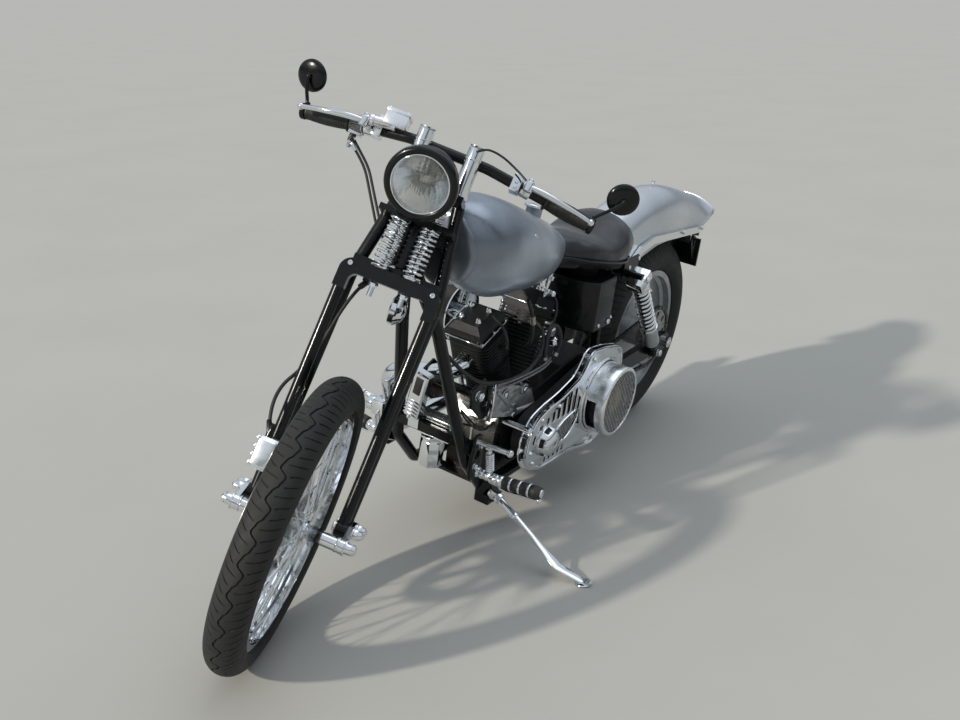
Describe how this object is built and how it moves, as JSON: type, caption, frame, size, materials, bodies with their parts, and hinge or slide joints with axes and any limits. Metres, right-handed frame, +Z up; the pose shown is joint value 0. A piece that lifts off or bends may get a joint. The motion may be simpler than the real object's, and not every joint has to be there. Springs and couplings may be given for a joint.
{
  "type": "chopper motorcycle",
  "caption": "Chopper motorcycle with a springer fork, wire front wheel, teardrop tank, solo seat, V-twin engine and open belt drive, leaning on its side stand.",
  "frame": {"origin": "middle of the bounding box on the ground", "axes": "+Z up from level ground, +Y to the machine's rear along its length, +X to its left; it leans to +X on its side stand with the fork turned left"},
  "size_m": [0.8186, 2.3341, 1.2682],
  "materials": {
    "tyre": "matt moulded rubber",
    "chrome": "polished chrome plate",
    "black_paint": "satin black paint",
    "black_engine": "satin black heat-proof paint",
    "aluminium": "cast and polished aluminium",
    "primer": "satin grey primer",
    "seat_leather": "smooth black leather",
    "rubber": "matt black rubber",
    "steel": "oiled steel",
    "lens_glass": "clear fluted glass"
  },
  "bodies": {
    "frame": {"frame_neck": "black_paint", "frame_cradle": "black_paint", "frame_rear": "black_paint", "swingarm": "black_paint", "rear_axle": "chrome", "shock_left": "chrome", "shock_right": "chrome", "fuel_tank": "primer", "seat": "seat_leather", "rear_fender": "primer", "fender_strut": "chrome", "oil_tank": "black_paint", "crankcase": "aluminium", "front_cylinder": "black_engine", "rear_cylinder": "black_engine", "front_rocker_box": "aluminium", "rear_rocker_box": "aluminium", "cam_cover": "chrome", "carburettor": "chrome", "gearbox": "aluminium", "primary_plate": "aluminium", "primary_guard": "chrome", "primary_belt": "rubber", "clutch": "chrome", "chain": "steel", "exhaust": "chrome", "oil_cooler": "black_paint", "oil_hose": "rubber", "regulator": "chrome", "control_left": "chrome", "control_right": "chrome"},
    "fork": {"rigid_fork": "black_paint", "spring_fork": "black_paint", "fork_spring_left": "chrome", "fork_spring_right": "chrome", "fork_rocker_left": "chrome", "fork_rocker_right": "chrome", "front_axle": "chrome", "handlebar": "black_paint", "riser_left": "chrome", "riser_right": "chrome", "grip_left": "rubber", "grip_right": "rubber", "clutch_lever": "chrome", "brake_lever": "chrome", "mirror_left": "black_paint", "mirror_right": "black_paint", "throttle": "rubber", "headlamp": "black_paint", "headlamp_lens": "lens_glass", "caliper": "chrome", "brake_hose": "rubber", "horn": "black_paint"},
    "front_wheel": {"front_tyre": "tyre", "front_wheel": "chrome", "front_rotor": "chrome"},
    "rear_wheel": {"rear_tyre": "tyre", "rear_wheel": "aluminium", "rear_sprocket": "steel"},
    "side_stand": {"side_stand": "chrome"}
  },
  "joints": [
    {"name": "steering", "type": "hinge", "parent": "frame", "child": "fork", "pos_m": [0.01719, -0.44979, 0.88844], "axis": [0.1378, 0.5031, 0.8532], "range_deg": [-50.6, 0]},
    {"name": "front_wheel_spin", "type": "hinge", "parent": "fork", "child": "front_wheel", "pos_m": [-0.04716, -0.84533, 0.32333], "axis": [0.8578, 0.3701, -0.3567], "continuous": true},
    {"name": "rear_wheel_spin", "type": "hinge", "parent": "frame", "child": "rear_wheel", "pos_m": [-0.07627, 0.8456, 0.31818], "axis": [0.9871, 0.0008, -0.1599], "continuous": true},
    {"name": "stand_fold", "type": "hinge", "parent": "frame", "child": "side_stand", "pos_m": [0.05208, -0.18559, 0.1608], "axis": [0.5596, 0.0557, 0.8269], "range_deg": [0, 85]}
  ]
}
